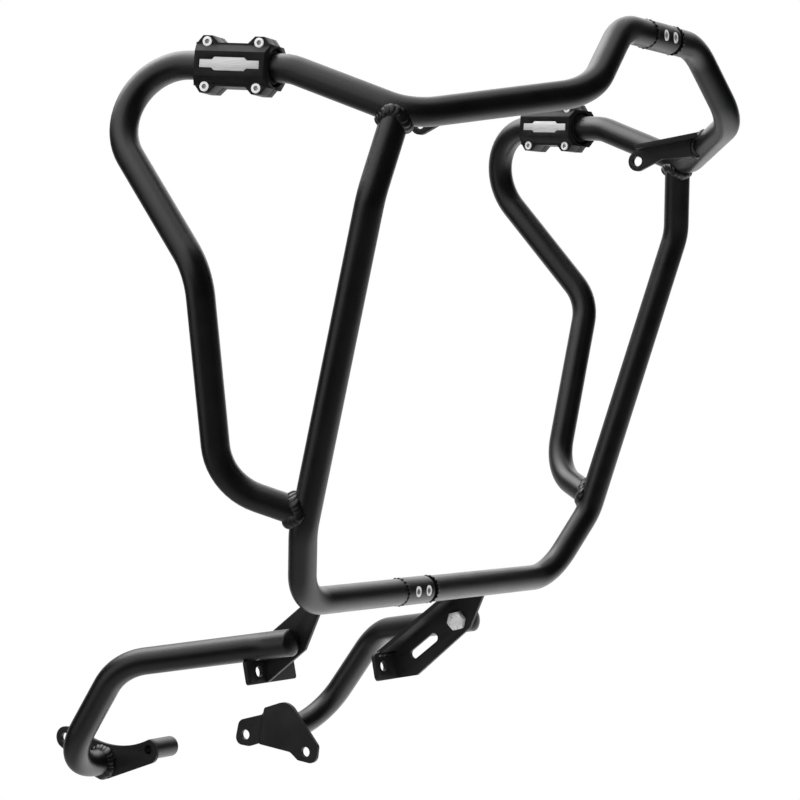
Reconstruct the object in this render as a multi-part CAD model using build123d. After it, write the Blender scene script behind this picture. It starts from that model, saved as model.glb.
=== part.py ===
from build123d import *
import math
import os

# Motorcycle crash bars. Two halves of bent steel tube wrap the front and the sides of the
# engine and are bolted together on the bike's centre plane, at the top and at the bottom.
# A lower tube on each side is bolted to a bracket under the bottom cross tube and runs back
# to a plate on the bike's frame. A clamped pad on each side guards the widest stretch.
# X is across the bike (+X is the rider's left), Y runs to the rear and Z is up.
# The origin lies on the bike's centre plane, on the axis of the bottom cross tube.

RIGHT = -1
LEFT = 1
LOW = (Align.CENTER, Align.CENTER, Align.MIN)

# Tube stock and joints between pieces
tube_od = 25.0
tube_wall = 2.0
bend_radius = 52.0
weld_gap = 0.1
slip = 0.1
cope_short = 2.5

# Corners of the upper tube, as (out from the centre plane, back, up)
crown_corner = (70.0, -233.0, 503.0)
brow_corner = (136.5, -239.5, 440.0)
shoulder_corner = (256.0, -134.0, 414.8)
pad_front_corner = (277.5, -27.0, 457.5)
pad_rear_corner = (315.0, 180.0, 473.0)
hip_corner = (339.0, 23.5, 284.0)
knee_corner = (293.0, 34.5, 104.0)

# Corners of the down tube, and where the two tubes of one side meet
down_top_corner = (279.5, -110.5, 347.0)
down_low_corner = (254.0, -26.0, 65.5)
cross_corner = (218.0, 0.0, 0.0)
down_head_run = 12.5
loop_foot_rise = 14.0

# Half-lap joints on the centre line
lap_length = 51.0
lap_od = 26.0
lap_gap = 7.0
spigot_length = 25.0
bottom_joint_x = -38.0
joint_screw_spacing = 18.0
joint_screw_size = 6.0
joint_head_od = 10.0
joint_head_height = 6.0
joint_head_sink = 0.6
joint_hex = 5.0
joint_screw_end = 10.0
head_room = 0.3

# Upper lugs
lug_x = 200.0
lug_sheet = 4.0
lug_hole = (-108.5, 414.0)
lug_hole_od = 10.0
lug_ear_radius = 9.8
lug_flange_width = 14.0
lug_flange_end = (-112.0, 428.8)
lug_flange_pitch = 0.13
lug_arm_low = (-135.0, 414.8)
lug_root_drop = 10.0

# Lower brackets: a plate behind the cross tube with a flange folded in along its rear edge
bracket_x = 144.0
bracket_sheet = 4.0
bracket_rear_top = (29.0, 8.0)
bracket_neck = 14.0
bracket_front_top = (28.0, -8.0)
bracket_front_low = (47.0, -49.5)
bracket_slope = 37.5
bracket_flange_width = 28.0
fold_radius = 3.0
bolt_place = (61.0, -43.5)
left_bracket_toe = (109.5, -101.2)
left_tab_foot = (135.5, -106.2)
left_tab_lean = 11.0
left_tab_width = 37.0
left_tab_hole = (23.5, 14.0)
left_tab_relief = 1.5
left_slot_place = (101.0, -71.1)
left_slot_length = 38.5
left_slot_width = 9.5
engine_hole_od = 10.5
tab_corner_radius = 5.0

# Foot plate welded across the end of the right bracket
foot_front = (88.5, -81.8)
foot_lean = 11.7
foot_sheet = 4.0
foot_out = 29.0
foot_in = 45.0
foot_height = 22.5
foot_hole = (-11.0, 11.0)
foot_corner_radius = 3.0

# Bracket bolts, and the threaded bushes that they pull on inside the lower tubes
bolt_size = 10.0
bolt_hex = 17.0
bolt_turn = 15.0
bolt_head_height = 6.4
bolt_head_chamfer = 1.2
bolt_hole_room = 0.5
bush_od = 12.5

# Lower tubes, from the bracket to the rear plate
lower_end_land = 0.5
lower_front_run = 24.0
lower_side_corner = (216.5, 205.5, -66.5)
lower_rear_corner = (209.5, 278.5, -169.0)
cap_rise = 5.0

# Rear plates
rear_plate_x = 150.0
rear_sheet = 4.0
right_front_hole = (223.0, -153.5)
right_front_radius = 9.7
right_front_drop = 3.5
right_rear_hole = (325.0, -149.5)
right_rear_radius = 10.5
right_weld_radius = 17.0
right_waist_radius = 93.0
right_waist_low = (262.0, -152.5)
right_hole_od = 9.0
spacer_od = 19.0
spacer_length = 31.0
spacer_edge = 1.5
left_front_hole = (249.0, -190.5)
left_rear_hole = (331.0, -179.2)
left_hole_od = 10.5
left_fold_foot = (308.0, -187.0)
left_fold_head = (302.0, -148.0)
left_fold_radius = 4.0
left_joggle = 6.0
left_joggle_run = 5.0

# Corners of the left rear plate with their radii: round the front hole, where the plate
# steps out, round the rear hole, and above the tube's end
left_ear_corners = [(-15.5, 7.0, 6.0), (-13.0, -12.5, 9.0), (10.0, -9.5, 6.0), (19.5, -1.8, 9.0)]
left_step_low = (3.5, 0.5, 1.0)
left_lobe_corners = [(-5.0, -12.0, 8.0), (14.0, -10.5, 8.0), (8.5, 15.0, 9.0)]
left_step_high = [(7.5, -8.3, 3.0), (0.0, 0.0, 3.0)]
left_crown_corner = (-7.0, 31.0, 18.0)

# Pads: two moulded halves, screwed together round a rubber sleeve on the tube. The shift places
# a sleeve on the straight run between two bends: 0 is at its front end and 1 at its rear end
pad_length = 70.0
right_pad_shift = 0.37
left_pad_shift = 0.99
pad_waist = 37.0
pad_shoulder = 14.5
pad_boss_height = 34.0
pad_face_depth = 20.5
pad_face_length = 66.0
pad_face_height = 21.4
pad_back_depth = 20.0
pad_back_bevel = 7.0
sleeve_wall = 1.5
sleeve_inset = 1.5
mouth_room = 2.5
mouth_depth = 5.0
pad_screw_along = 49.0
pad_screw_up = 38.5
pad_lug_back = 9.0
pad_lug_rim = 0.7
pad_lug_tip = 8.6
pad_lug_spread = 6.2
pad_lug_root = 1.5
pad_screw_size = 5.0
pad_head_od = 8.5
pad_head_height = 5.0
pad_head_proud = 0.8
pad_hex = 4.0
pad_nut_hex = 8.0
pad_nut_height = 4.0
pad_screw_past = 1.0

# Badge plate let into the face of each pad, and its bare raised field
badge_length = 56.5
badge_end_height = 7.2
badge_mid_length = 28.5
badge_mid_height = 11.8
badge_step_run = 2.2
badge_thickness = 1.2
badge_recess = 1.6
badge_room = 0.5

tube_radius = tube_od / 2
bore_radius = tube_radius - tube_wall


def place(side, corner):
    """A corner given outwards from the centre plane, on one side of the bike."""
    return Vector(side * corner[0], corner[1], corner[2])


def bent(*points):
    """A tube's centre line: straight runs with one bend radius at every corner."""
    return FilletPolyline(*points, radius=bend_radius)


def rod(path, radius):
    """A round bar that follows a centre line."""
    return sweep(Plane(path @ 0, z_dir=path % 0) * Circle(radius), path=path)


def tube(path):
    return rod(path, tube_radius) - rod(path, bore_radius)


def along_x(start, end, centre, radius):
    """A round bar parallel to X between two distances across the bike."""
    low = min(start, end)
    bar = Cylinder(radius, abs(end - start), align=LOW)
    return Plane((low, centre[0], centre[1]), z_dir=(1, 0, 0)) * bar


def across(outline, x_low, x_high):
    """A sheet or block of one outline in the Y-Z plane, between two distances across."""
    return extrude(Plane.YZ.offset(x_low) * outline, amount=x_high - x_low, dir=(1, 0, 0))


def rounded(corners):
    """A closed outline of (along, up, corner radius) points."""
    points = [corner[:2] for corner in corners]
    return make_face(FilletPolyline(*points, radius=[corner[2] for corner in corners], close=True))


def hex_bar(across_flats, height):
    return extrude(RegularPolygon(across_flats / math.sqrt(3), 6), amount=height)


def export(name, shape):
    export_step(shape, f"parts/{name}.step")


os.makedirs("parts", exist_ok=True)

down_run = Vector(*down_top_corner) - Vector(*down_low_corner)


def upper_path(side):
    """From the top joint, out and back past the pad, round the hip and in to the down tube."""
    start = Vector(side * lap_length / 2, crown_corner[1], crown_corner[2])
    foot = place(side, down_low_corner) + place(side, tuple(down_run.normalized())) * loop_foot_rise
    knee = place(side, knee_corner)
    end = foot - (foot - knee).normalized() * cope_short
    corners = [crown_corner, brow_corner, shoulder_corner, pad_front_corner]
    corners += [pad_rear_corner, hip_corner]
    return bent(start, *[place(side, corner) for corner in corners], knee, end)


def shoulder_path(side):
    """The stretch of the upper tube that carries the lug and the down tube."""
    return bent(*[place(side, corner) for corner in (brow_corner, shoulder_corner, pad_front_corner)])


def down_path(side):
    """From the upper tube's shoulder down to the bottom joint."""
    shoulder = place(side, shoulder_corner)
    head = shoulder + (place(side, pad_front_corner) - shoulder).normalized() * down_head_run
    top = place(side, down_top_corner)
    start = head + (top - head).normalized() * cope_short
    end = Vector(bottom_joint_x + side * lap_length / 2, cross_corner[1], cross_corner[2])
    return bent(start, top, place(side, down_low_corner), place(side, cross_corner), end)


def half_frame(side):
    """The upper tube and the down tube of one side, each coped to the other."""
    down_bar = rod(down_path(side), tube_radius + weld_gap)
    shoulder_bar = rod(shoulder_path(side), tube_radius + weld_gap)
    upper = tube(upper_path(side)) - down_bar
    upper = upper.solids().sort_by(SortBy.VOLUME)[-1]
    down = tube(down_path(side)) - shoulder_bar
    down = down.solids().sort_by(SortBy.VOLUME)[-1]
    return upper, down


def joint_screw_places(joint):
    """Screw axes of a half-lap joint, with local Z to the front of the bike."""
    places = []
    for step in (-0.5, 0.5):
        origin = joint + Vector(step * joint_screw_spacing, 0, 0)
        places.append(Plane(origin, x_dir=(1, 0, 0), z_dir=(0, -1, 0)))
    return places


lap_radius = lap_od / 2
head_seat = lap_radius - joint_head_sink - joint_head_height


def lap_plug(side, joint):
    """A turned plug: a spigot in the tube, and half of the lap: the front half on the right."""
    centre = (joint.Y, joint.Z)
    shoulder = joint.X + side * lap_length / 2
    tip = joint.X - side * (lap_length / 2 - lap_gap)
    tongue = along_x(tip, shoulder, centre, lap_radius)
    turn = 0 if side == RIGHT else 180
    other_half = Box(2 * lap_length, lap_od, 2 * lap_od, align=(Align.CENTER, Align.MIN, Align.CENTER))
    tongue -= Pos(joint) * Rot(0, 0, turn) * other_half
    for frame in joint_screw_places(joint):
        tongue -= frame * Cylinder(joint_screw_size / 2 + slip, 2 * lap_od)
        tongue -= frame * Pos(0, 0, head_seat) * Cylinder(joint_head_od / 2 + head_room, lap_od, align=LOW)
    spigot = along_x(shoulder, shoulder + side * spigot_length, centre, bore_radius - slip)
    return tongue + spigot


def cap_screw(size, head_od, head_height, hex_size, seat, end):
    """A socket head screw on local Z, with its head standing on the seat height."""
    shank = Pos(0, 0, end) * Cylinder(size / 2, seat - end, align=LOW)
    head = Pos(0, 0, seat) * Cylinder(head_od / 2, head_height, align=LOW)
    socket_depth = head_height / 2
    socket = Pos(0, 0, seat + head_height - socket_depth) * hex_bar(hex_size, socket_depth)
    return head + shank - socket


def joint_screws(joint):
    head = (joint_head_od, joint_head_height, joint_hex)
    screw = cap_screw(joint_screw_size, *head, head_seat, -joint_screw_end)
    return Compound([frame * screw for frame in joint_screw_places(joint)])


def shoulder_axis(out):
    """Where the upper tube's axis is between brow and shoulder, that far out."""
    share = (out - brow_corner[0]) / (shoulder_corner[0] - brow_corner[0])
    axis = Vector(*brow_corner) + (Vector(*shoulder_corner) - Vector(*brow_corner)) * share
    return axis.Y, axis.Z


def upper_lug(side):
    """A pressed lug: an arm that carries the hole, and a flange folded in along its top."""
    lug_in = lug_x - lug_sheet / 2
    lug_out = lug_x + lug_sheet / 2
    root_y = shoulder_axis(lug_in - lug_flange_width)[0]
    root_low = shoulder_axis(lug_x)[1] - lug_root_drop
    root_top = lug_flange_end[1] + (lug_flange_end[0] - root_y) * lug_flange_pitch
    ear = Pos(*lug_hole) * Circle(lug_ear_radius)
    arm = make_hull(ear.edges() + Line(lug_flange_end, lug_arm_low).edges())
    arm += Polygon(lug_flange_end, lug_arm_low, (root_y, root_low), (root_y, root_top), align=None)
    arm -= Pos(*lug_hole) * Circle(lug_hole_od / 2)
    strip = Polygon(
        lug_flange_end,
        (root_y, root_top),
        (root_y, root_top - lug_sheet),
        (lug_flange_end[0], lug_flange_end[1] - lug_sheet),
        align=None,
    )
    lug = across(arm, lug_in, lug_out) + across(strip, lug_in - lug_flange_width, lug_out)
    fold_middle = (lug_out, (root_y + lug_flange_end[0]) / 2, (root_top + lug_flange_end[1]) / 2)
    lug = fillet(lug.edges().sort_by_distance(fold_middle)[0], fold_radius)
    lug -= rod(shoulder_path(LEFT), tube_radius + weld_gap)
    lug = lug.solids().sort_by(SortBy.VOLUME)[-1]
    return lug if side == LEFT else mirror(lug, about=Plane.YZ)


bracket_in = bracket_x - bracket_sheet / 2
bracket_out = bracket_x + bracket_sheet / 2
slope_run = math.cos(math.radians(bracket_slope))
slope_fall = math.sin(math.radians(bracket_slope))


def down_slope(distance):
    """A point on the brackets' rear edge, that far down from its top."""
    return (bracket_rear_top[0] + distance * slope_run, bracket_rear_top[1] - distance * slope_fall)


def slope_at(foot, lean):
    """How far down the rear edge a line through a foot, leaning back, crosses it."""
    slant = math.tan(math.radians(lean))
    reach = foot[0] + slant * (bracket_rear_top[1] - foot[1]) - bracket_rear_top[0]
    return reach / (slope_run + slant * slope_fall)


def bracket_blank(lower_end, flange_end):
    """The plate of a bracket with its flange, and the middle of the flange's fold."""
    neck = [(0, bracket_neck / 2), (0, -bracket_neck / 2)]
    plate = Polygon(bracket_rear_top, *neck, bracket_front_top, bracket_front_low, *lower_end, align=None)
    plate -= Pos(*bolt_place) * Circle((bolt_size + bolt_hole_room) / 2)
    start = down_slope(bracket_sheet)
    end = down_slope(flange_end)
    inner = Vector(-slope_fall, -slope_run) * bracket_sheet
    strip = Polygon(start, end, Vector(*end) + inner, Vector(*start) + inner, align=None)
    blank = across(plate, bracket_in, bracket_out)
    blank += across(strip, bracket_in - bracket_flange_width, bracket_out)
    return blank, Vector(bracket_out, *down_slope(flange_end / 2))


def folded(blank, folds):
    """Rounds the outside of the folds and copes the plate to the cross tube."""
    edges = [blank.edges().sort_by_distance(fold)[0] for fold in folds]
    bracket = fillet(edges, fold_radius)
    bracket -= along_x(0, cross_corner[0], (0, 0), tube_radius + weld_gap)
    return bracket.solids().sort_by(SortBy.VOLUME)[-1]


def left_lower_bracket():
    """The long bracket: its end is folded in to a tab that bolts to the engine."""
    tab_top = slope_at(left_tab_foot, left_tab_lean)
    corner = down_slope(tab_top)
    lower_end = [left_bracket_toe, left_tab_foot, corner]
    blank, flange_fold = bracket_blank(lower_end, tab_top - left_tab_relief)
    tab_frame = Plane(
        (bracket_out, *left_tab_foot),
        x_dir=(-1, 0, 0),
        z_dir=(0, math.cos(math.radians(left_tab_lean)), -math.sin(math.radians(left_tab_lean))),
    )
    tab_height = math.dist(left_tab_foot, corner) - left_tab_relief / 2
    tab = Rectangle(left_tab_width + bracket_sheet, tab_height, align=Align.MIN)
    outer_corners = tab.vertices().group_by(Axis.X)[-1]
    tab = fillet(outer_corners, tab_corner_radius)
    tab -= Pos(bracket_sheet + left_tab_hole[0], left_tab_hole[1]) * Circle(engine_hole_od / 2)
    blank += extrude(tab_frame * tab, amount=bracket_sheet, dir=-tab_frame.z_dir)
    tab_fold = tab_frame.from_local_coords((0, tab_height / 2, 0))
    bracket = folded(blank, [flange_fold, tab_fold])
    slot = Rot(0, 0, -bracket_slope) * SlotOverall(left_slot_length, left_slot_width)
    return bracket - across(Pos(*left_slot_place) * slot, bracket_in, bracket_out)


lower_axis_x = bracket_out + tube_radius
lower_end_lead = bush_od / 2 + lower_end_land
bush_end = lower_axis_x + math.sqrt(bore_radius**2 - (bush_od / 2) ** 2) - 3 * slip


def lower_path(side):
    """From the bracket bolt back and out past the engine, then down and in to the rear plate."""
    bolt = Vector(lower_axis_x, *bolt_place)
    fall = (lower_side_corner[2] - bolt.Z) / (lower_side_corner[1] - bolt.Y)
    front = bolt - Vector(0, 1, fall) * lower_end_lead
    bend = bolt + Vector(0, 1, fall) * lower_front_run
    rear = Vector(rear_plate_x + weld_gap, *lower_rear_corner[1:])
    points = [front, bend, Vector(*lower_side_corner), Vector(*lower_rear_corner), rear]
    return bent(*[place(side, tuple(point)) for point in points])


foot_frame = Plane(
    (-bracket_x, *foot_front),
    x_dir=(1, 0, 0),
    z_dir=(0, -math.cos(math.radians(foot_lean)), math.sin(math.radians(foot_lean))),
)


def right_lower_bracket():
    """The short bracket, mirrored, which ends on the foot plate."""
    end_place = slope_at(foot_front, foot_lean)
    blank, flange_fold = bracket_blank([foot_front, down_slope(end_place)], end_place)
    bracket = mirror(folded(blank, [flange_fold]), about=Plane.YZ)
    return split(bracket, bisect_by=foot_frame.offset(weld_gap), keep=Keep.TOP)


def right_foot_plate():
    """A flat strip across the bracket's end and under the tube, with the engine bolt's hole."""
    plate = Pos(-foot_out, 0) * Rectangle(foot_out + foot_in, foot_height, align=Align.MIN)
    plate = fillet(plate.vertices(), foot_corner_radius)
    plate -= Pos(*foot_hole) * Circle(engine_hole_od / 2)
    plate = extrude(foot_frame * plate, amount=foot_sheet, dir=-foot_frame.z_dir)
    return plate - rod(lower_path(RIGHT), tube_radius + weld_gap)


def lower_tube(side):
    """A bent tube, drilled on its inner side for the threaded bush."""
    hole = along_x(side * bracket_in, side * lower_axis_x, bolt_place, bush_od / 2 + slip)
    return tube(lower_path(side)) - hole


def tube_bush(side):
    """A threaded bush, welded into the tube's wall and flush with the bracket."""
    bush = along_x(side * bracket_out, side * bush_end, bolt_place, bush_od / 2)
    return bush - along_x(side * bracket_out, side * bush_end, bolt_place, bolt_size / 2 + slip)


def bracket_bolt(side):
    """A hexagon bolt, put in from the inner face of the bracket."""
    frame = Plane((side * bracket_in, *bolt_place), x_dir=(0, 1, 0), z_dir=(-side, 0, 0))
    head_round = Cylinder(bolt_hex / math.sqrt(3), bolt_head_height, align=LOW)
    rim = head_round.edges().group_by(Axis.Z)[-1]
    head_round = chamfer(rim, bolt_head_chamfer, 2 * bolt_head_chamfer)
    head = Rot(0, 0, bolt_turn) * hex_bar(bolt_hex, bolt_head_height) & head_round
    return frame * head + along_x(side * bracket_in, side * bush_end, bolt_place, bolt_size / 2)


def tube_cap(side):
    """A domed cap, welded to the front end of the lower tube."""
    path = lower_path(side)
    dome = Sphere(tube_radius, arc_size1=0, align=LOW)
    dome = scale(dome, by=(1, 1, cap_rise / tube_radius))
    return Plane(path @ 0, z_dir=-(path % 0)) * dome


rear_in = rear_plate_x - rear_sheet


def right_rear_plate():
    """A flat plate with a hollowed top edge, held by a bolt in front of and behind the tube."""
    front = Pos(*right_front_hole) * Circle(right_front_radius)
    circles = [
        front,
        Pos(0, -right_front_drop) * front,
        Pos(*lower_rear_corner[1:]) * Circle(right_weld_radius),
        Pos(*right_rear_hole) * Circle(right_rear_radius),
    ]
    plate = make_hull([circle.edge() for circle in circles])
    plate -= Pos(right_waist_low[0], right_waist_low[1] + right_waist_radius) * Circle(right_waist_radius)
    for hole in (right_front_hole, right_rear_hole):
        plate -= Pos(*hole) * Circle(right_hole_od / 2)
    return across(plate, -rear_plate_x, -rear_in)


def right_rear_spacer():
    """A turned spacer behind the right plate's front hole."""
    spacer = along_x(-rear_in, -rear_in + spacer_length, right_front_hole, spacer_od / 2)
    spacer = fillet(spacer.edges().group_by(Axis.X)[-1], spacer_edge)
    return spacer - along_x(-rear_plate_x, 0, right_front_hole, right_hole_od / 2)


def around(centre, corners):
    """Corners with their radii, moved from a centre to their place."""
    return [(centre[0] + along, centre[1] + up, radius) for along, up, radius in corners]


def left_rear_plate():
    """A plate that steps out along a slanting fold, so that its rear lobe clears the frame."""
    corners = around(left_front_hole, left_ear_corners)
    corners += around(left_fold_foot, [left_step_low])
    corners += around(left_rear_hole, left_lobe_corners)
    corners += around(left_fold_head, left_step_high)
    corners += around(lower_rear_corner[1:], [left_crown_corner])
    outline = rounded(corners)
    for hole in (left_front_hole, left_rear_hole):
        outline -= Pos(*hole) * Circle(left_hole_od / 2)
    fold = Vector(0, *left_fold_head) - Vector(0, *left_fold_foot)
    reach = 2 * (left_rear_hole[0] - left_front_hole[0])
    inner = [
        (rear_in, -reach),
        (rear_in, 0),
        (rear_in + left_joggle, left_joggle_run),
        (rear_in + left_joggle, reach),
    ]
    outer = [(x + rear_sheet, along) for x, along in reversed(inner)]
    profile = Polygon(*inner, *outer, align=None)
    bends = profile.vertices().filter_by(lambda corner: abs(corner.Y) < reach)
    profile = fillet(bends, left_fold_radius)
    fold_frame = Plane((0, *left_fold_foot), x_dir=(1, 0, 0), z_dir=fold)
    sheet = extrude(fold_frame * profile, amount=reach, both=True)
    return across(outline, rear_in, rear_plate_x + left_joggle) & sheet


def bend_reach(before, corner, after):
    """How far from a corner its bend starts and ends."""
    turn = (corner - before).get_angle(after - corner)
    return bend_radius * math.tan(math.radians(turn / 2))


def pad_frame(side, shift):
    """The pad's own axes: X along the tube, Y up across it, Z out of the badge face."""
    start = place(side, pad_front_corner)
    end = place(side, pad_rear_corner)
    first = bend_reach(place(side, shoulder_corner), start, end)
    last = (end - start).length - bend_reach(start, end, place(side, hip_corner))
    sleeve_length = pad_length - 2 * sleeve_inset
    station = first + sleeve_length / 2 + shift * (last - first - sleeve_length)
    run = (end - start).normalized()
    up = (Vector(0, 0, 1) - run * run.Z).normalized()
    face = run.cross(up)
    if face.X > 0:
        face = -face
    return Plane(start + run * station, x_dir=up.cross(face), z_dir=face)


sleeve_radius = tube_radius + slip + sleeve_wall
pad_bore = sleeve_radius + slip
pad_head_room = pad_head_od / 2 + head_room
pad_head_seat = pad_shoulder + pad_head_proud - pad_head_height
nut_seat = pad_lug_back - pad_nut_height - pad_screw_past


def pad_lugs(low, high):
    """Four tapered lugs round the screws at the corners of the pad, between two depths."""
    half = pad_length / 2
    top = pad_screw_up / 2 + pad_head_room + pad_lug_rim
    tip_in = (pad_screw_along - pad_lug_tip) / 2
    tip_out = (pad_screw_along + pad_lug_tip) / 2
    foot = tip_in - pad_lug_spread
    lugs = []
    for end in (-1, 1):
        for level in (-1, 1):
            corners = [
                (end * half, level * (pad_waist / 2 - pad_lug_root)),
                (end * tip_out, level * top),
                (end * tip_in, level * top),
                (end * foot, level * pad_waist / 2),
                (end * foot, 0),
                (end * half, 0),
            ]
            outline = Plane.XY.offset(low) * Polygon(*corners, align=None)
            lugs.append(extrude(outline, amount=high - low, dir=(0, 0, 1)))
    return lugs


def pad_screw_places():
    for end in (-0.5, 0.5):
        for level in (-0.5, 0.5):
            yield Pos(end * pad_screw_along, level * pad_screw_up, 0)


def tube_room():
    """The space of the sleeve and of the flared mouths at both ends of a pad."""
    room = Rot(0, 90, 0) * Cylinder(pad_bore, 2 * pad_length)
    for end in (-1, 1):
        mouth = Rot(0, 90, 0) * Cylinder(pad_bore + mouth_room, mouth_depth)
        room += Pos(end * (pad_length - mouth_depth) / 2, 0, 0) * mouth
    return room


def badge_outline(room):
    """A long strip with a deeper middle, joined by short slopes."""
    end_x = badge_length / 2 + room
    end_y = badge_end_height / 2 + room
    mid_x = badge_mid_length / 2 + room
    mid_y = badge_mid_height / 2 + room
    quarter = [(end_x, end_y), (mid_x + badge_step_run, end_y), (mid_x, mid_y)]
    upper = quarter + [(-x, y) for x, y in reversed(quarter)]
    return Polygon(*upper, *[(-x, -y) for x, y in upper], align=None)


badge_floor = pad_face_depth - badge_recess


def pad_front_half():
    """The half that faces out: a bevelled boss with a let-in badge, and sunk screw heads."""
    half = Box(pad_length, pad_waist, pad_shoulder, align=LOW)
    for lug in pad_lugs(0, pad_shoulder):
        half += lug
    boss_foot = Plane.XY.offset(pad_shoulder) * Rectangle(pad_length, pad_boss_height)
    boss_face = Plane.XY.offset(pad_face_depth) * Rectangle(pad_face_length, pad_face_height)
    half += loft([boss_foot.face(), boss_face.face()])
    half -= tube_room()
    recess = extrude(badge_outline(badge_room), amount=badge_recess, dir=(0, 0, 1))
    half -= Pos(0, 0, badge_floor) * recess
    for screw in pad_screw_places():
        half -= screw * Cylinder(pad_screw_size / 2 + slip, 2 * pad_face_depth)
        half -= screw * Pos(0, 0, pad_head_seat) * Cylinder(pad_head_room, pad_face_depth, align=LOW)
    return half


def pad_rear_half():
    """The half behind the tube, with bevelled edges and pockets for the nuts."""
    side = pad_waist / 2
    bevel = pad_back_depth - pad_back_bevel
    profile = [
        (-side, 0),
        (-side, -bevel),
        (-side + pad_back_bevel, -pad_back_depth),
        (side - pad_back_bevel, -pad_back_depth),
        (side, -bevel),
        (side, 0),
    ]
    half = across(Polygon(*profile, align=None), -pad_length / 2, pad_length / 2)
    for lug in pad_lugs(-pad_lug_back, 0):
        half += lug
    half -= tube_room()
    for screw in pad_screw_places():
        half -= screw * Cylinder(pad_screw_size / 2 + slip, 2 * pad_back_depth)
        pocket = hex_bar(pad_nut_hex + 2 * slip, pad_back_depth)
        half -= screw * Pos(0, 0, -nut_seat - pad_back_depth) * pocket
    return half


def pad_badge():
    return Pos(0, 0, badge_floor) * extrude(badge_outline(0), amount=badge_thickness, dir=(0, 0, 1))


def pad_sleeve():
    """A rubber sleeve that the two halves squeeze on the tube."""
    length = pad_length - 2 * sleeve_inset
    sleeve = Cylinder(sleeve_radius, length) - Cylinder(tube_radius + slip, length)
    return Rot(0, 90, 0) * sleeve


def pad_screws():
    end = -(nut_seat + pad_nut_height + pad_screw_past / 2)
    screw = cap_screw(pad_screw_size, pad_head_od, pad_head_height, pad_hex, pad_head_seat, end)
    return [spot * screw for spot in pad_screw_places()]


def pad_nuts():
    nut = hex_bar(pad_nut_hex, pad_nut_height)
    nut -= Cylinder(pad_screw_size / 2 + slip / 2, 2 * pad_nut_height)
    return [spot * Pos(0, 0, -nut_seat - pad_nut_height) * nut for spot in pad_screw_places()]


top_joint = Vector(0, crown_corner[1], crown_corner[2])
bottom_joint = Vector(bottom_joint_x, cross_corner[1], cross_corner[2])

for side, name in ((RIGHT, "right"), (LEFT, "left")):
    upper, down = half_frame(side)
    export(f"{name}_upper_tube", upper)
    export(f"{name}_down_tube", down)
    export(f"{name}_top_plug", lap_plug(side, top_joint))
    export(f"{name}_bottom_plug", lap_plug(side, bottom_joint))
    export(f"{name}_upper_lug", upper_lug(side))
    export(f"{name}_lower_tube", lower_tube(side))
    export(f"{name}_tube_cap", tube_cap(side))
    export(f"{name}_tube_bush", tube_bush(side))
    export(f"{name}_bracket_bolt", bracket_bolt(side))

export("top_joint_screws", joint_screws(top_joint))
export("bottom_joint_screws", joint_screws(bottom_joint))
export("left_lower_bracket", left_lower_bracket())
export("right_lower_bracket", right_lower_bracket())
export("right_foot_plate", right_foot_plate())
export("right_rear_plate", right_rear_plate())
export("right_rear_spacer", right_rear_spacer())
export("left_rear_plate", left_rear_plate())

pad_pieces = {
    "pad_front_half": pad_front_half(),
    "pad_rear_half": pad_rear_half(),
    "pad_badge": pad_badge(),
    "pad_sleeve": pad_sleeve(),
}
pad_groups = {"pad_screws": pad_screws(), "pad_nuts": pad_nuts()}
for side, name, shift in ((RIGHT, "right", right_pad_shift), (LEFT, "left", left_pad_shift)):
    frame = pad_frame(side, shift)
    for piece, shape in pad_pieces.items():
        export(f"{name}_{piece}", frame * shape)
    for piece, shapes in pad_groups.items():
        export(f"{name}_{piece}", Compound([frame * shape for shape in shapes]))
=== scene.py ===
# Motorcycle crash bars: two bolted halves of bent steel tube, with a clamped pad on each side.
# Lengths are in metres. X runs to the rider's left, Y to the rear of the bike and Z up.
import bmesh
import bpy
import math
from mathutils import Matrix, Vector
from mathutils.bvhtree import BVHTree


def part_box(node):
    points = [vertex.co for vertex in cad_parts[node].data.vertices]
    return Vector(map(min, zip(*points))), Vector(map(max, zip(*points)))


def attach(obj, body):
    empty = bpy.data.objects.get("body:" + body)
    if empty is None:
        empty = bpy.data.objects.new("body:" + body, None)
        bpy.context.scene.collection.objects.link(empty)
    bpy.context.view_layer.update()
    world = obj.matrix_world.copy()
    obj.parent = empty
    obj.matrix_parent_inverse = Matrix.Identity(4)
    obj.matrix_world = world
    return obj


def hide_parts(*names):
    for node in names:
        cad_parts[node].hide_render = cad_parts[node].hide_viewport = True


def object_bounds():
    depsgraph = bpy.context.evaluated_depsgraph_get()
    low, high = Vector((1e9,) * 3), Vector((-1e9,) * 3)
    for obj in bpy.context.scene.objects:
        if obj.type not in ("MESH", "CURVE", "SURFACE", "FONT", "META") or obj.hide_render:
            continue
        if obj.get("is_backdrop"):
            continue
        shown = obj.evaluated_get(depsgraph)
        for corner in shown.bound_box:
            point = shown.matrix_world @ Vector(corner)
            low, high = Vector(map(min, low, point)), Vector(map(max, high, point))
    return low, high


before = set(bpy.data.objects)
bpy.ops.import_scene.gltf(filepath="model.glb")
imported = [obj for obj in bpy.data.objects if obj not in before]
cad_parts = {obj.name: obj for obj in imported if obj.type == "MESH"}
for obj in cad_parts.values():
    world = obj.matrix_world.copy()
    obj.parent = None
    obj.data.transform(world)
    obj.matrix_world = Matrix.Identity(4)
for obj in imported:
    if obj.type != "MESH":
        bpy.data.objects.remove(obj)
cad_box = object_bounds()

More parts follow.
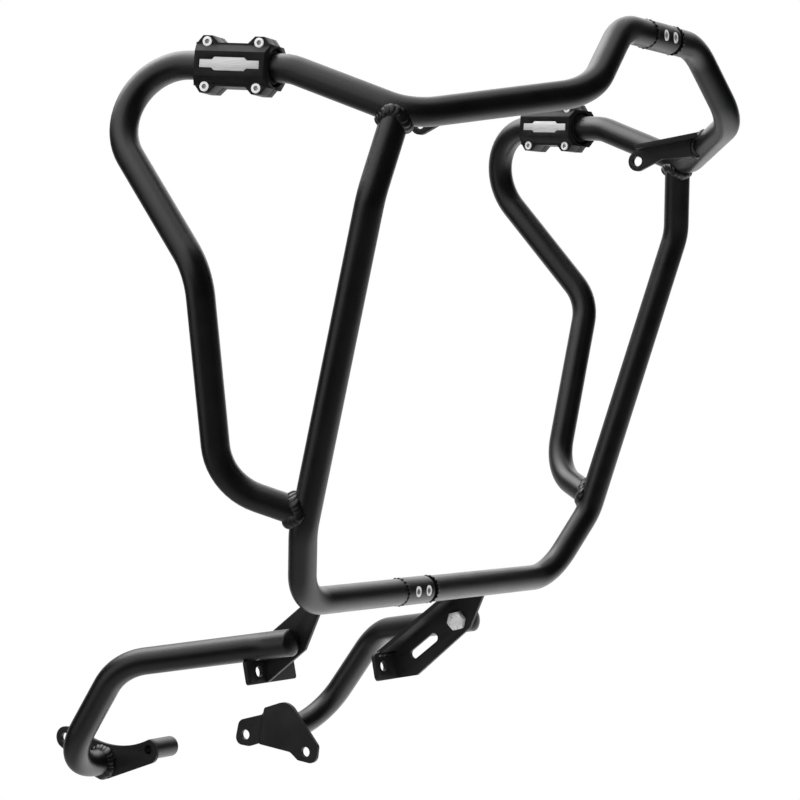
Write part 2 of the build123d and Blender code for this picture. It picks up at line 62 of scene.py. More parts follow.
# Bent tubes
# Round steel tube, bent cold on one former and mitred to the tube that it is welded to.
# The welded halves are blasted and powder coated satin black, which leaves a fine orange peel.
coat_colours = ((0.0020, 0.0020, 0.0021, 1.0), (0.0032, 0.0032, 0.0034, 1.0))
coat_roughness = (0.30, 0.36)
coat_specular = 0.9
coat_cloud_scale = 45.0
coat_peel_scale = 850.0
coat_peel_depth = 0.00018
noise_middle = (0.3, 0.7)
smooth_limit = math.radians(38)
flat_limit = math.radians(0.2)
edge_limit = math.radians(32)
edge_segments = 2
merge_distance = 0.000002
ring_step = 0.0025
wall_slant = 0.05

sides = ("right", "left")


def shader(name):
    """A new material, its node tree, its main shader and the piece's own coordinates."""
    material = bpy.data.materials.new(name)
    material.use_nodes = True
    tree = material.node_tree
    where = tree.nodes.new("ShaderNodeTexCoord").outputs["Object"]
    return material, tree, tree.nodes["Principled BSDF"], where


def noise(tree, where, scale):
    """A soft random pattern, with about that many clouds to each unit of its coordinates."""
    texture = tree.nodes.new("ShaderNodeTexNoise")
    texture.inputs["Scale"].default_value = scale
    tree.links.new(where, texture.inputs["Vector"])
    return texture.outputs["Fac"]


def spread(tree, value, low, high):
    """Stretches the middle of a noise to a range of numbers."""
    ramp = tree.nodes.new("ShaderNodeMapRange")
    ramp.inputs["From Min"].default_value, ramp.inputs["From Max"].default_value = noise_middle
    ramp.inputs["To Min"].default_value = low
    ramp.inputs["To Max"].default_value = high
    tree.links.new(value, ramp.inputs["Value"])
    return ramp.outputs["Result"]


def tint(tree, value, dark, light):
    """A colour between two, as far as the value says."""
    mix = tree.nodes.new("ShaderNodeMix")
    mix.data_type = "RGBA"
    colours = [socket for socket in mix.inputs if socket.type == "RGBA"]
    colours[0].default_value = dark
    colours[1].default_value = light
    tree.links.new(spread(tree, value, 0.0, 1.0), mix.inputs["Factor"])
    return [socket for socket in mix.outputs if socket.type == "RGBA"][0]


def relief(tree, surface, height, depth):
    """Fine relief of a surface, that deep."""
    bump = tree.nodes.new("ShaderNodeBump")
    bump.inputs["Strength"].default_value = 1.0
    bump.inputs["Distance"].default_value = depth
    tree.links.new(height, bump.inputs["Height"])
    tree.links.new(bump.outputs["Normal"], surface.inputs["Normal"])


def clouded(name, colours, roughness, cloud_scale, grain_scale, grain_depth):
    """A material whose colour and gloss vary in soft clouds under a fine grain, and its main shader."""
    material, tree, surface, where = shader(name)
    cloud = noise(tree, where, cloud_scale)
    tree.links.new(tint(tree, cloud, *colours), surface.inputs["Base Color"])
    tree.links.new(spread(tree, cloud, *roughness), surface.inputs["Roughness"])
    relief(tree, surface, noise(tree, where, grain_scale), grain_depth)
    return material, surface


def powder_coat(name, colours, roughness, specular, peel_scale, peel_depth):
    """Baked powder: a clouded black with an orange-peel skin."""
    material, surface = clouded(name, colours, roughness, coat_cloud_scale, peel_scale, peel_depth)
    surface.inputs["Specular IOR Level"].default_value = specular
    return material


def settle(piece):
    """Turns a piece and its modifiers into one plain mesh with smooth rounds."""
    evaluated = piece.evaluated_get(bpy.context.evaluated_depsgraph_get())
    mesh = bpy.data.meshes.new_from_object(evaluated)
    piece.modifiers.clear()
    piece.data = mesh
    mesh.shade_smooth()
    mesh.set_sharp_from_angle(angle=smooth_limit)


def solid_copy(node):
    """A solid's mesh with its loose triangles joined and its flats made whole."""
    shape = bmesh.new()
    shape.from_mesh(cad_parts[node].data)
    bmesh.ops.remove_doubles(shape, verts=shape.verts, dist=merge_distance)
    bmesh.ops.dissolve_limit(shape, angle_limit=flat_limit, verts=shape.verts, edges=shape.edges)
    return shape


def ring_ends(shape):
    """Cuts rings into a tube's wall near its mitred ends, so that the wall stays smoothly shaded there."""
    corners = (edge for edge in shape.edges if edge.is_manifold and edge.calc_face_angle() > smooth_limit)
    sharp = dict.fromkeys(corners)
    left = dict.fromkeys(v for edge in sharp for v in edge.verts)
    while left:
        rim = [left.popitem()[0]]
        for v in rim:
            for edge in v.link_edges:
                other = edge.other_vert(v)
                if edge in sharp and other in left:
                    del left[other]
                    rim.append(other)
        middle = sum((v.co for v in rim), Vector()) / len(rim)
        runs = [edge.other_vert(v).co - v.co for v in rim for edge in v.link_edges if edge not in sharp]
        axis = max(runs, key=lambda run: run.length, default=Vector()).normalized()
        depths = [(v.co - middle).dot(axis) for v in rim]
        if max(depths) - min(depths) < ring_step:
            continue
        beside = (face for v in rim for face in v.link_faces)
        wall = dict.fromkeys(face for face in beside if abs(face.normal.dot(axis)) < wall_slant)
        depth = min(depths) + ring_step
        while depth < max(depths) + 2 * ring_step:
            edges = dict.fromkeys(edge for face in wall for edge in face.edges)
            points = dict.fromkeys(v for face in wall for v in face.verts)
            cut = bmesh.ops.bisect_plane(
                shape,
                geom=[*wall, *edges, *points],
                dist=merge_distance,
                plane_co=middle + axis * depth,
                plane_no=axis,
            )
            wall.update((piece, None) for piece in cut["geom"] if isinstance(piece, bmesh.types.BMFace))
            depth += ring_step


def dress(node, material, edge=0.0, shape=None):
    """Shows a solid, or its reworked shape, with its edges broken by that much, in that finish."""
    mesh = bpy.data.meshes.new(node + "_skin")
    shape = shape or solid_copy(node)
    shape.to_mesh(mesh)
    shape.free()
    mesh.materials.append(material)
    piece = bpy.data.objects.new(node + "_skin", mesh)
    bpy.context.scene.collection.objects.link(piece)
    if edge:
        bevel = piece.modifiers.new("broken_edge", "BEVEL")
        bevel.width = edge
        bevel.segments = edge_segments
        bevel.limit_method = "ANGLE"
        bevel.angle_limit = edge_limit
        weighted = piece.modifiers.new("flat_shading", "WEIGHTED_NORMAL")
        weighted.keep_sharp = True
    settle(piece)
    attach(piece, "root")
    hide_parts(node)
    return piece


satin_black = powder_coat(
    "satin_black_coat", coat_colours, coat_roughness, coat_specular, coat_peel_scale, coat_peel_depth
)
for side in sides:
    for tube in ("upper_tube", "down_tube", "lower_tube"):
        wall = solid_copy(f"{side}_{tube}")
        ring_ends(wall)
        dress(f"{side}_{tube}", satin_black, shape=wall)

# Half-lap joint plugs
# Turned steel plugs pressed into the tube ends and welded; each ends in half of a round bar.
# They are coated with the halves, and only the two screws of each joint stay bare.
plug_edge = 0.0004

for side in sides:
    for plug in ("top_plug", "bottom_plug"):
        dress(f"{side}_{plug}", satin_black, plug_edge)

# Folded and flat plates
# Sheet steel, cut by laser and folded: lugs at the shoulders, brackets under the cross tube,
# and the plates at the rear ends. Their coat is flatter than the tubes', with soft cut edges.
plate_colours = ((0.0070, 0.0070, 0.0072, 1.0), (0.0110, 0.0110, 0.0114, 1.0))
plate_roughness = (0.44, 0.52)
plate_specular = 0.4
plate_peel_scale = 950.0
plate_peel_depth = 0.00008
plate_edge = 0.0007

plate_black = powder_coat(
    "plate_black_coat", plate_colours, plate_roughness, plate_specular, plate_peel_scale, plate_peel_depth
)
for side in sides:
    for plate in ("upper_lug", "lower_bracket", "rear_plate"):
        dress(f"{side}_{plate}", plate_black, plate_edge)
dress("right_foot_plate", plate_black, plate_edge)
dress("right_rear_spacer", satin_black, plate_edge)

# Ends of the lower tubes
# A domed cap closes the front end, and a threaded bush sits in the tube's wall.
# Both are welded in before coating and ground smooth, so that no bead shows.
for side in sides:
    dress(f"{side}_tube_cap", satin_black)
    dress(f"{side}_tube_bush", satin_black)

# Weld beads
# The beads where tube meets tube and plate meets tube, laid by hand in short overlapping ripples.
# They are coated with the frame. Each follows the edge of the end face that it closes, and one
# short straight run closes a corner on the left.
heavy_bead = {"pitch": 0.0042, "length": 0.0120, "width": 0.0106, "height": 0.0024, "slide": 0.0026}
light_bead = {"pitch": 0.0026, "length": 0.0060, "width": 0.0060, "height": 0.0019}
ring_bead = {"pitch": 0.0042, "length": 0.0044, "width": 0.0030, "height": 0.0009, "square": True}
bead_voxel = 0.0004
bead_ease = 0.5
bead_smoothing = 2
ripple_tilt = math.radians(18)
ripple_spread = (0.88, 1.12)
ripple_facets = 3
tube_reach = 0.0026
lug_reach = 0.0008
plate_reach = 0.0005
lean_probe = 0.002
end_squareness = 0.99
tab_weld_ends = (0.1405, 0.1145)
tab_corner = (0.1366, -0.0796)
tab_lean = (0.0, -0.935, -0.353)


def bead_tree():
    """Ripples laid along a path: its own points carry the way out of the corner."""
    tree = bpy.data.node_groups.new("weld_bead", "GeometryNodeTree")
    sockets = tree.interface
    sockets.new_socket("Path", in_out="INPUT", socket_type="NodeSocketGeometry")
    for size in ("Pitch", "Length", "Width", "Height"):
        sockets.new_socket(size, in_out="INPUT", socket_type="NodeSocketFloat")
    sockets.new_socket("Seed", in_out="INPUT", socket_type="NodeSocketInt")
    sockets.new_socket("Finish", in_out="INPUT", socket_type="NodeSocketMaterial")
    sockets.new_socket("Bead", in_out="OUTPUT", socket_type="NodeSocketGeometry")
    add = tree.nodes.new
    link = tree.links.new
    sizes = add("NodeGroupInput").outputs

    line = add("GeometryNodeMeshToCurve")
    link(sizes["Path"], line.inputs["Mesh"])
    points = add("GeometryNodeResampleCurve")
    points.mode = "LENGTH"
    link(line.outputs["Curve"], points.inputs["Curve"])
    link(sizes["Pitch"], points.inputs["Length"])

    lean = add("GeometryNodeInputNamedAttribute")
    lean.data_type = "FLOAT_VECTOR"
    lean.inputs["Name"].default_value = "lean"
    outward = add("FunctionNodeAlignRotationToVector")
    outward.axis = "Z"
    link(lean.outputs["Attribute"], outward.inputs["Vector"])
    onward = add("FunctionNodeAlignRotationToVector")
    onward.axis = "X"
    onward.pivot_axis = "Z"
    link(outward.outputs["Rotation"], onward.inputs["Rotation"])
    link(add("GeometryNodeInputTangent").outputs["Tangent"], onward.inputs["Vector"])
    tilted = add("FunctionNodeRotateRotation")
    tilted.rotation_space = "LOCAL"
    tilted.inputs["Rotate By"].default_value = (0.0, ripple_tilt, 0.0)
    link(onward.outputs["Rotation"], tilted.inputs["Rotation"])

    ripple = add("ShaderNodeCombineXYZ")
    link(sizes["Length"], ripple.inputs["X"])
    link(sizes["Width"], ripple.inputs["Y"])
    link(sizes["Height"], ripple.inputs["Z"])
    uneven = add("FunctionNodeRandomValue")
    uneven.data_type = "FLOAT"
    numbers = [socket for socket in uneven.inputs if socket.type == "VALUE"]
    numbers[0].default_value, numbers[1].default_value = ripple_spread
    link(sizes["Seed"], uneven.inputs["Seed"])
    scaled = add("ShaderNodeVectorMath")
    scaled.operation = "SCALE"
    link(ripple.outputs["Vector"], scaled.inputs["Vector"])
    link([socket for socket in uneven.outputs if socket.type == "VALUE"][0], scaled.inputs["Scale"])

    pool = add("GeometryNodeMeshIcoSphere")
    pool.inputs["Radius"].default_value = 1.0
    pool.inputs["Subdivisions"].default_value = ripple_facets
    laid = add("GeometryNodeInstanceOnPoints")
    link(points.outputs["Curve"], laid.inputs["Points"])
    link(pool.outputs["Mesh"], laid.inputs["Instance"])
    link(tilted.outputs["Rotation"], laid.inputs["Rotation"])
    link(scaled.outputs["Vector"], laid.inputs["Scale"])
    real = add("GeometryNodeRealizeInstances")
    link(laid.outputs["Instances"], real.inputs["Geometry"])
    coated = add("GeometryNodeSetMaterial")
    link(real.outputs["Geometry"], coated.inputs["Geometry"])
    link(sizes["Finish"], coated.inputs["Material"])
    link(coated.outputs["Geometry"], add("NodeGroupOutput").inputs["Bead"])
    return tree


def longest_loop(rim):
    """The points along the longest run of edges in a rim, and the rim's edges beside each point."""
    beside = {v: [edge for edge in v.link_edges if edge in rim] for edge in rim for v in edge.verts}
    loops = []
    left = dict.fromkeys(beside)
    while left:
        loop = [left.popitem()[0]]
        for point in loop:
            ahead = [edge.other_vert(point) for edge in beside[point] if edge.other_vert(point) in left]
            if ahead:
                del left[ahead[0]]
                loop.append(ahead[0])
        loops.append(loop)
    longest = max(loops, key=lambda loop: sum((a.co - b.co).length for a, b in zip(loop, loop[1:])))
    return {point: beside[point] for point in longest}


def seam(node, carrier, reach, slide, square):
    """The outer edge of the end face that a piece turns to its carrier, moved up the piece's wall.

    It runs anticlockwise as the piece looks at it, and each point has the way out of the corner."""
    shape = solid_copy(node)
    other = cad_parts[carrier].data
    skin = BVHTree.FromPolygons([v.co for v in other.vertices], [p.vertices for p in other.polygons])
    near = {v for v in shape.verts if skin.find_nearest(v.co, reach)[0] is not None}
    ends = {face for face in shape.faces if all(v in near for v in face.verts)}
    if square:
        ends = {face for face in ends if abs(face.normal.x) > end_squareness}
    rim = [edge for edge in shape.edges if sum(face in ends for face in edge.link_faces) == 1]
    rim = dict.fromkeys(edge for edge in rim if edge.calc_face_angle() > smooth_limit)
    path = []
    rise = Vector()
    for point, beside in longest_loop(rim).items():
        around = (face for edge in beside for face in edge.link_faces)
        walls = dict.fromkeys(face for face in around if face not in ends)
        sheet = sum((face.normal for face in walls), Vector()).normalized()
        away = sum((face.calc_center_median() - point.co for face in walls), Vector())
        away = (away - sheet * away.dot(sheet)).normalized()
        facing = Vector() if square else skin.find_nearest(point.co + sheet * lean_probe)[1]
        path.append((point.co + away * slide, (sheet + facing).normalized()))
        rise += away
    shape.free()
    middle = sum((point for point, lean in path), Vector()) / len(path)
    spokes = [point - middle for point, lean in path]
    turn = sum((a.cross(b) for a, b in zip(spokes, spokes[1:])), Vector())
    return path if turn.dot(rise) > 0 else path[::-1]


beads = bead_tree()


def lay(name, path, closed, pitch, length, width, height, seed):
    """Lays one bead, melts its ripples together and fixes it to the frame."""
    count = len(path)
    steps = [(i, (i + 1) % count) for i in range(count if closed else count - 1)]
    line = bpy.data.meshes.new(name)
    line.from_pydata([point for point, lean in path], steps, [])
    line.attributes.new("lean", "FLOAT_VECTOR", "POINT")
    line.attributes["lean"].data.foreach_set("vector", [value for point, lean in path for value in lean])
    bead = bpy.data.objects.new(name, line)
    bpy.context.scene.collection.objects.link(bead)
    laying = bead.modifiers.new("ripples", "NODES")
    laying.node_group = beads
    values = {"Pitch": pitch, "Length": length / 2, "Width": width / 2, "Height": height}
    values.update({"Seed": seed, "Finish": satin_black})
    for socket in beads.interface.items_tree:
        if socket.name in values:
            laying[socket.identifier] = values[socket.name]
    melt = bead.modifiers.new("melt", "REMESH")
    melt.mode = "VOXEL"
    melt.voxel_size = bead_voxel
    ease = bead.modifiers.new("ease", "SMOOTH")
    ease.factor = bead_ease
    ease.iterations = bead_smoothing
    settle(bead)
    bead.data.materials.clear()
    bead.data.materials.append(satin_black)
    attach(bead, "root")


def weld(name, node, carrier, reach, slide=0.0, square=False, **size):
    """A bead all round the end of a piece."""
    lay(name, seam(node, carrier, reach, slide, square), True, **size)


welds = (
    ("head_weld", "down_tube", "upper_tube", tube_reach, heavy_bead, 11),
    ("foot_weld", "upper_tube", "down_tube", tube_reach, heavy_bead, 21),
    ("lug_weld", "upper_lug", "upper_tube", lug_reach, light_bead, 31),
    ("rear_weld", "lower_tube", "rear_plate", plate_reach, heavy_bead, 41),
    ("bracket_weld", "lower_bracket", "down_tube", plate_reach, light_bead, 51),
    ("top_ring", "upper_tube", "top_plug", tube_reach, ring_bead, 61),
    ("bottom_ring", "down_tube", "bottom_plug", tube_reach, ring_bead, 71),
)
for index, side in enumerate(sides):
    for bead, piece, carrier, reach, size, seed in welds:
        weld(f"{side}_{bead}", f"{side}_{piece}", f"{side}_{carrier}", reach, **size, seed=seed + index)
weld("right_spacer_weld", "right_rear_spacer", "right_rear_plate", plate_reach, **light_bead, seed=82)
tab_path = [(Vector((x, *tab_corner)), Vector(tab_lean)) for x in tab_weld_ends]
lay("left_tab_weld", tab_path, False, **light_bead, seed=83)

# Bare fasteners
# Stainless socket screws in the joints and the pads, a zinc plated hexagon bolt at each bracket,
# and the pads' nuts. Cold headed and turned, with no coat; the sockets' insides carry painted shade, a dark
# finish.
steel_colours = ((0.88, 0.88, 0.89, 1.0), (0.97, 0.97, 0.97, 1.0))
steel_metal = 0.35
steel_roughness = (0.28, 0.38)
zinc_colours = ((0.72, 0.72, 0.73, 1.0), (0.92, 0.92, 0.92, 1.0))
zinc_metal = 0.45
zinc_roughness = (0.26, 0.36)
# These socket colours are painted shade: a dark finish inside the hexagon sockets, where shadow falls.
socket_shade_colours = ((0.36, 0.36, 0.36, 1.0), (0.56, 0.56, 0.56, 1.0))
socket_shade_metal = 0.4
socket_shade_roughness = (0.30, 0.42)
steel_cloud_scale = 380.0
steel_mark_scale = 2600.0
steel_mark_depth = 0.00001
screw_edge = 0.00035
bolt_edge = 0.0003
joint_socket = {"hexagon": 0.0050, "depth": 0.0030}
pad_socket = {"hexagon": 0.0040, "depth": 0.0025}
joint_heads = Vector((0.0, -1.0, 0.0))
socket_slack = 0.0001
head_squareness = 0.97
crown_cuts = 7
crown_share = 0.93
crown_slope = math.tan(math.radians(40))


def bare_metal(name, colours, roughness, metal):
    """Uncoated metal with the faint marks of heading and turning."""
    marks = (steel_cloud_scale, steel_mark_scale, steel_mark_depth)
    material, surface = clouded(name, colours, roughness, *marks)
    surface.inputs["Metallic"].default_value = metal
    return material


steel = bare_metal("bright_steel", steel_colours, steel_roughness, steel_metal)
zinc = bare_metal("zinc_plate", zinc_colours, zinc_roughness, zinc_metal)
# Painted shade for the insides of the hexagon sockets.
socket_shade = bare_metal("painted_socket_shade", socket_shade_colours, socket_shade_roughness, socket_shade_metal)


def islands(shape):
    """The separate screws of a mesh, each as a list of its faces."""
    left = dict.fromkeys(shape.faces)
    while left:
        reached = [left.popitem()[0]]
        for face in reached:
            for edge in face.edges:
                for other in edge.link_faces:
                    if other in left:
                        del left[other]
                        reached.append(other)
        yield reached


def shade_sockets(piece, towards, hexagon, depth):
    """Paints shade into the inside of each screw's hexagon socket, as its own dark material."""
    piece.data.materials.append(socket_shade)
    heads = [face for face in piece.data.polygons if face.normal.dot(towards) > head_squareness]
    axis = sum((face.normal * face.area for face in heads), Vector()).normalized()
    shape = bmesh.new()
    shape.from_mesh(piece.data)
    for screw in islands(shape):
        points = [v.co for face in screw for v in face.verts]
        top = max(point.dot(axis) for point in points)
        flat = [point - axis * point.dot(axis) for point in points]
        middle = Vector([(min(values) + max(values)) / 2 for values in zip(*flat)])
        for face in screw:
            centre = face.calc_center_median()
            sunk = top - centre.dot(axis)
            aside = (centre - axis * centre.dot(axis) - middle).length
            if socket_slack < sunk < depth + socket_slack and aside < hexagon / math.sqrt(3) + socket_slack:
                face.material_index = 1
    shape.to_mesh(piece.data)
    shape.free()


def crowned_bolt(node):
    """A hexagon bolt whose head is turned off to a round face."""
    shape = solid_copy(node)
    crown = max((face for face in shape.faces if len(face.verts) == 6), key=lambda face: face.calc_area())
    axis, middle = crown.normal.copy(), crown.calc_center_median()
    flats = [(edge.verts[0].co + edge.verts[1].co) / 2 for edge in crown.edges]
    inner = min((flat - middle).length for flat in flats) * crown_share
    bmesh.ops.subdivide_edges(shape, edges=crown.edges, cuts=crown_cuts)
    level = [face for face in shape.faces if face.normal.dot(axis) > end_squareness]
    crown = max(level, key=lambda face: face.calc_center_median().dot(axis))
    rim = list(crown.verts)
    bmesh.ops.inset_region(shape, faces=[crown], thickness=bolt_edge)
    for v in crown.verts:
        v.co = middle + (v.co - middle).normalized() * inner
    for v in rim:
        v.co -= axis * ((v.co - middle).length - inner) * crown_slope
    shape.normal_update()
    return shape


def middle_of(node):
    """The middle of a node's box."""
    low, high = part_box(node)
    return (Vector(low) + Vector(high)) / 2


for joint in ("top", "bottom"):
    screws = dress(f"{joint}_joint_screws", steel, screw_edge)
    shade_sockets(screws, joint_heads, **joint_socket)
for side in sides:
    bolt = f"{side}_bracket_bolt"
    dress(bolt, zinc, bolt_edge, crowned_bolt(bolt))
    way_out = (middle_of(f"{side}_pad_screws") - middle_of(f"{side}_pad_nuts")).normalized()
    screws = dress(f"{side}_pad_screws", steel, screw_edge)
    shade_sockets(screws, way_out, **pad_socket)
    dress(f"{side}_pad_nuts", steel, bolt_edge)

# Pads
# Two moulded halves of hard black plastic, screwed together round a rubber sleeve on the tube.
# The mould is spark eroded, so the skin has a fine even grain, and every edge is a little soft.
pad_colours = ((0.0060, 0.0060, 0.0062, 1.0), (0.0092, 0.0092, 0.0095, 1.0))
pad_roughness = (0.36, 0.44)
pad_specular = 0.2
pad_cloud_scale = 120.0
pad_grain_scale = 2100.0
pad_grain_depth = 0.00005
pad_edge = 0.0009
rubber_colours = ((0.007, 0.007, 0.007, 1.0), (0.011, 0.011, 0.011, 1.0))
rubber_roughness = (0.7, 0.82)

pad_grain = (pad_cloud_scale, pad_grain_scale, pad_grain_depth)
plastic, plastic_surface = clouded("grained_black_plastic", pad_colours, pad_roughness, *pad_grain)
plastic_surface.inputs["Specular IOR Level"].default_value = pad_specular
rubber = clouded("soft_black_rubber", rubber_colours, rubber_roughness, *pad_grain)[0]
for side in sides:
    dress(f"{side}_pad_front_half", plastic, pad_edge)
    dress(f"{side}_pad_rear_half", plastic, pad_edge)
    dress(f"{side}_pad_sleeve", rubber)

# Badge plates
# Bare strips of silver metal with a deeper middle, glued into a recess in the face of each pad.
# They are brushed along their length and left plain.
silver_colours = ((0.57, 0.57, 0.57, 1.0), (0.75, 0.75, 0.75, 1.0))
silver_metal = 0.45
silver_roughness = (0.34, 0.46)
brush_fine = 1600.0
brush_long = 60.0
brush_depth = 0.00002
badge_edge = 0.0005


def brushed_silver(side):
    """Silver with fine lines that run along the badge's own length."""
    material, tree, surface, where = shader(f"{side}_brushed_silver")
    low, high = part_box(f"{side}_pad_badge")
    slant = 1 if side == "left" else -1
    heading = math.atan2(high.y - low.y, (high.x - low.x) * slant)
    turned = tree.nodes.new("ShaderNodeMapping")
    turned.vector_type = "TEXTURE"
    turned.inputs["Rotation"].default_value = (0.0, 0.0, heading)
    tree.links.new(where, turned.inputs["Vector"])
    drawn = tree.nodes.new("ShaderNodeMapping")
    drawn.inputs["Scale"].default_value = (brush_long, brush_fine, brush_fine)
    tree.links.new(turned.outputs["Vector"], drawn.inputs["Vector"])
    lines = noise(tree, drawn.outputs["Vector"], 1.0)
    tree.links.new(tint(tree, lines, *silver_colours), surface.inputs["Base Color"])
    tree.links.new(spread(tree, lines, *silver_roughness), surface.inputs["Roughness"])
    surface.inputs["Metallic"].default_value = silver_metal
    relief(tree, surface, lines, brush_depth)
    return material


for side in sides:
    dress(f"{side}_pad_badge", brushed_silver(side), badge_edge)

# Studio
# A pale floor well below the bars, a white surround, and soft boxes on the right, above and below.
# A tent of dark cloth round the bars shows only in their gloss: soft lights fade across it, so that the
# tubes keep a black core between light edges. The camera is level with them, in front on their right.
floor_height = -0.85
floor_half = 9.0
floor_colour = (0.86, 0.86, 0.86, 1.0)
floor_roughness = 0.9
surround_light = 0.90
tent_radius = 2.2
tent_turn = (0.0, 2 * math.pi)
tent_rise = (math.radians(-89), math.radians(89))
tent_low = -0.84
tent_steps = (48, 24)
tent_black = 0.010
# Each light of the tent: the way to it, how far along that way it starts and is full, and its strength.
tent_lights = {
    "low_left": ((0.62, -0.10, -0.78), 0.56, 0.92, 1.00),
    "below": ((0.00, 0.00, -1.00), 0.30, 0.70, 0.26),
    "above": ((0.00, 0.30, 0.954), 0.64, 0.82, 0.85),
    "above_behind": ((0.00, 0.52, 0.854), 0.86, 1.00, 3.20),
    "high_right": ((-0.80, 0.20, 0.566), 0.84, 0.97, 0.70),
    "rear_right": ((-0.80, 0.60, 0.00), 0.90, 0.99, 0.45),
    "rear_left": ((0.84, 0.542, 0.00), 0.55, 0.95, 0.80),
    "high_left": ((0.80, 0.25, 0.546), 0.84, 0.98, 1.10),
}
lamps = (
    ("right_box", (-2.6, 0.9, 0.9), (1.9, 2.2), 14.0),
    ("top_box", (0.1, 0.2, 2.6), (2.4, 2.4), 27.0),
    ("low_box", (0.1, 0.2, -0.8), (2.2, 2.2), 16.0),
)
aim = (0.0, 0.0, 0.15)
camera_place = (-2.0615, -1.2895, 0.1773)
camera_heading = math.radians(32.82)
camera_roll = 0.0064
camera_lens = 116.0
camera_sensor = 36.0
camera_reach = (0.05, 60.0)


def seen_white(tree, plain, white):
    """Mixes a plain shader with white light for what the camera, gloss and glass look at."""
    path = tree.nodes.new("ShaderNodeLightPath").outputs
    gloss = tree.nodes.new("ShaderNodeMath")
    gloss.operation = "MAXIMUM"
    tree.links.new(path["Is Camera Ray"], gloss.inputs[0])
    tree.links.new(path["Is Glossy Ray"], gloss.inputs[1])
    glass = tree.nodes.new("ShaderNodeMath")
    glass.operation = "MAXIMUM"
    tree.links.new(gloss.outputs["Value"], glass.inputs[0])
    tree.links.new(path["Is Transmission Ray"], glass.inputs[1])
    mix = tree.nodes.new("ShaderNodeMixShader")
    tree.links.new(glass.outputs["Value"], mix.inputs["Fac"])
    tree.links.new(plain, mix.inputs[1])
    tree.links.new(white, mix.inputs[2])
    return mix.outputs["Shader"]


world = bpy.data.worlds.new("white_surround")
bpy.context.scene.world = world
world.use_nodes = True
world_tree = world.node_tree
plain_light = world_tree.nodes["Background"]
plain_light.inputs["Color"].default_value = (1.0, 1.0, 1.0, 1.0)
plain_light.inputs["Strength"].default_value = surround_light
white_light = world_tree.nodes.new("ShaderNodeBackground")
white_light.inputs["Color"].default_value = (1.0, 1.0, 1.0, 1.0)
white_light.inputs["Strength"].default_value = 1.0
surround = seen_white(world_tree, plain_light.outputs["Background"], white_light.outputs["Background"])
world_tree.links.new(surround, world_tree.nodes["World Output"].inputs["Surface"])


def floor_finish():
    """Matt pale paint, which reads as white where it is looked at."""
    material, tree, surface, where = shader("pale_floor")
    surface.inputs["Base Color"].default_value = floor_colour
    surface.inputs["Roughness"].default_value = floor_roughness
    white = tree.nodes.new("ShaderNodeEmission")
    white.inputs["Strength"].default_value = 1.0
    shown = seen_white(tree, surface.outputs["BSDF"], white.outputs["Emission"])
    tree.links.new(shown, tree.nodes["Material Output"].inputs["Surface"])
    return material


floor_mesh = bpy.data.meshes.new("floor")
floor_signs = [(-1, -1), (1, -1), (1, 1), (-1, 1)]
floor_corners = [(x * floor_half, y * floor_half, floor_height) for x, y in floor_signs]
floor_mesh.from_pydata(floor_corners, [], [(0, 1, 2, 3)])
floor_mesh.materials.append(floor_finish())
floor = bpy.data.objects.new("floor", floor_mesh)
bpy.context.scene.collection.objects.link(floor)
floor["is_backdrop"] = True


def tent_cloth():
    """Dark cloth with soft lights that fade across it, each by its way from the middle of the tent."""
    material, tree, surface, where = shader("tent_cloth")
    lit = tree.nodes.new("ShaderNodeEmission")
    outward = tree.nodes.new("ShaderNodeVectorMath")
    outward.operation = "NORMALIZE"
    tree.links.new(where, outward.inputs[0])
    level = None
    for way, start, full, strength in tent_lights.values():
        along = tree.nodes.new("ShaderNodeVectorMath")
        along.operation = "DOT_PRODUCT"
        along.inputs[1].default_value = way
        tree.links.new(outward.outputs["Vector"], along.inputs[0])
        fade = tree.nodes.new("ShaderNodeMapRange")
        fade.inputs["From Min"].default_value = start
        fade.inputs["From Max"].default_value = full
        fade.inputs["To Max"].default_value = strength
        tree.links.new(along.outputs["Value"], fade.inputs["Value"])
        added = tree.nodes.new("ShaderNodeMath")
        added.inputs[1].default_value = tent_black
        if level is not None:
            tree.links.new(level, added.inputs[1])
        tree.links.new(fade.outputs["Result"], added.inputs[0])
        level = added.outputs["Value"]
    tree.links.new(level, lit.inputs["Strength"])
    tree.links.new(lit.outputs["Emission"], tree.nodes["Material Output"].inputs["Surface"])
    return material


def between(limits, step, steps):
    """A number that many steps along the way from one limit to the other."""
    return limits[0] + (limits[1] - limits[0]) * step / steps


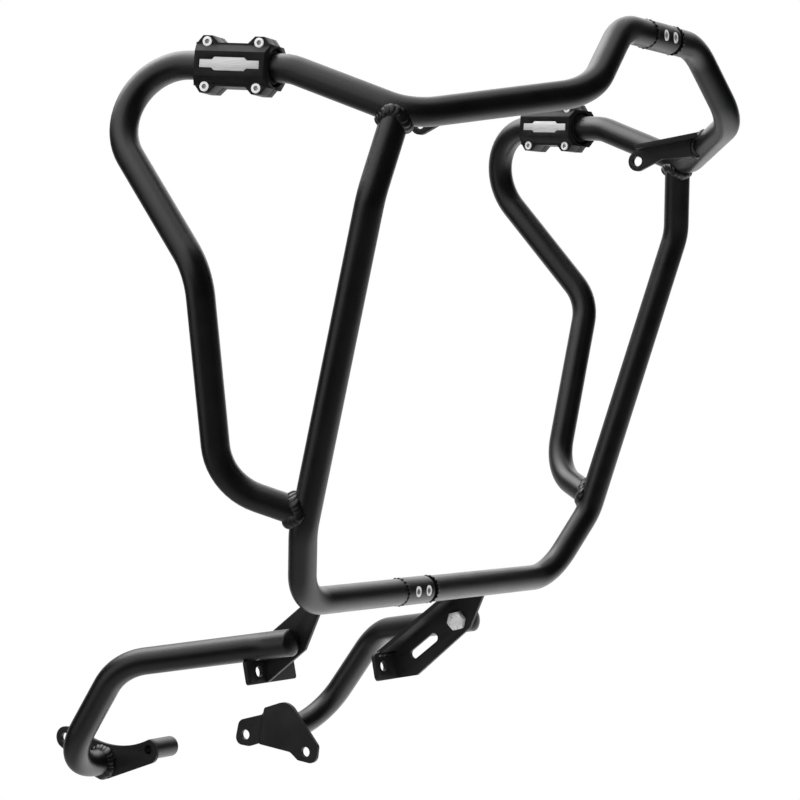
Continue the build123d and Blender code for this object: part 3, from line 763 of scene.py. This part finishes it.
across_steps, up_steps = tent_steps
tent_points = []
for row in range(up_steps + 1):
    rise = between(tent_rise, row, up_steps)
    for column in range(across_steps + 1):
        turn = between(tent_turn, column, across_steps)
        out = tent_radius * math.cos(rise)
        height = max(tent_radius * math.sin(rise), tent_low)
        tent_points.append((out * math.cos(turn), out * math.sin(turn), height))
panels = []
for row in range(up_steps):
    for column in range(across_steps):
        first = row * (across_steps + 1) + column
        panels.append((first, first + 1, first + across_steps + 2, first + across_steps + 1))
tent_mesh = bpy.data.meshes.new("light_tent")
tent_mesh.from_pydata(tent_points, [], panels)
tent_mesh.materials.append(tent_cloth())
tent = bpy.data.objects.new("light_tent", tent_mesh)
bpy.context.scene.collection.objects.link(tent)
tent.visible_camera = False
tent.visible_diffuse = False
tent.visible_transmission = False
tent.visible_shadow = False
tent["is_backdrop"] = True

for name, place, size, power in lamps:
    light_data = bpy.data.lights.new(name, "AREA")
    light_data.shape = "RECTANGLE"
    light_data.size, light_data.size_y = size
    light_data.energy = power
    lamp = bpy.data.objects.new(name, light_data)
    lamp.location = place
    lamp.rotation_euler = (Vector(aim) - Vector(place)).to_track_quat("-Z", "Y").to_euler()
    lamp.visible_camera = False
    lamp.visible_glossy = False
    bpy.context.scene.collection.objects.link(lamp)

camera_data = bpy.data.cameras.new("camera")
camera_data.lens = camera_lens
camera_data.sensor_width = camera_sensor
camera_data.clip_start, camera_data.clip_end = camera_reach
camera = bpy.data.objects.new("camera", camera_data)
ahead = Vector((math.cos(camera_heading), math.sin(camera_heading), 0.0))
across = Vector((math.sin(camera_heading), -math.cos(camera_heading), camera_roll)).normalized()
upward = across.cross(ahead)
facing = Matrix((across, upward, -ahead)).transposed().to_4x4()
camera.matrix_world = Matrix.Translation(camera_place) @ facing
bpy.context.scene.collection.objects.link(camera)
bpy.context.scene.camera = camera
bpy.context.scene.view_settings.view_transform = "Standard"

boxes = {"cad": cad_box, "visual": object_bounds()}
{name: [list(corner) for corner in box] for name, box in boxes.items()}
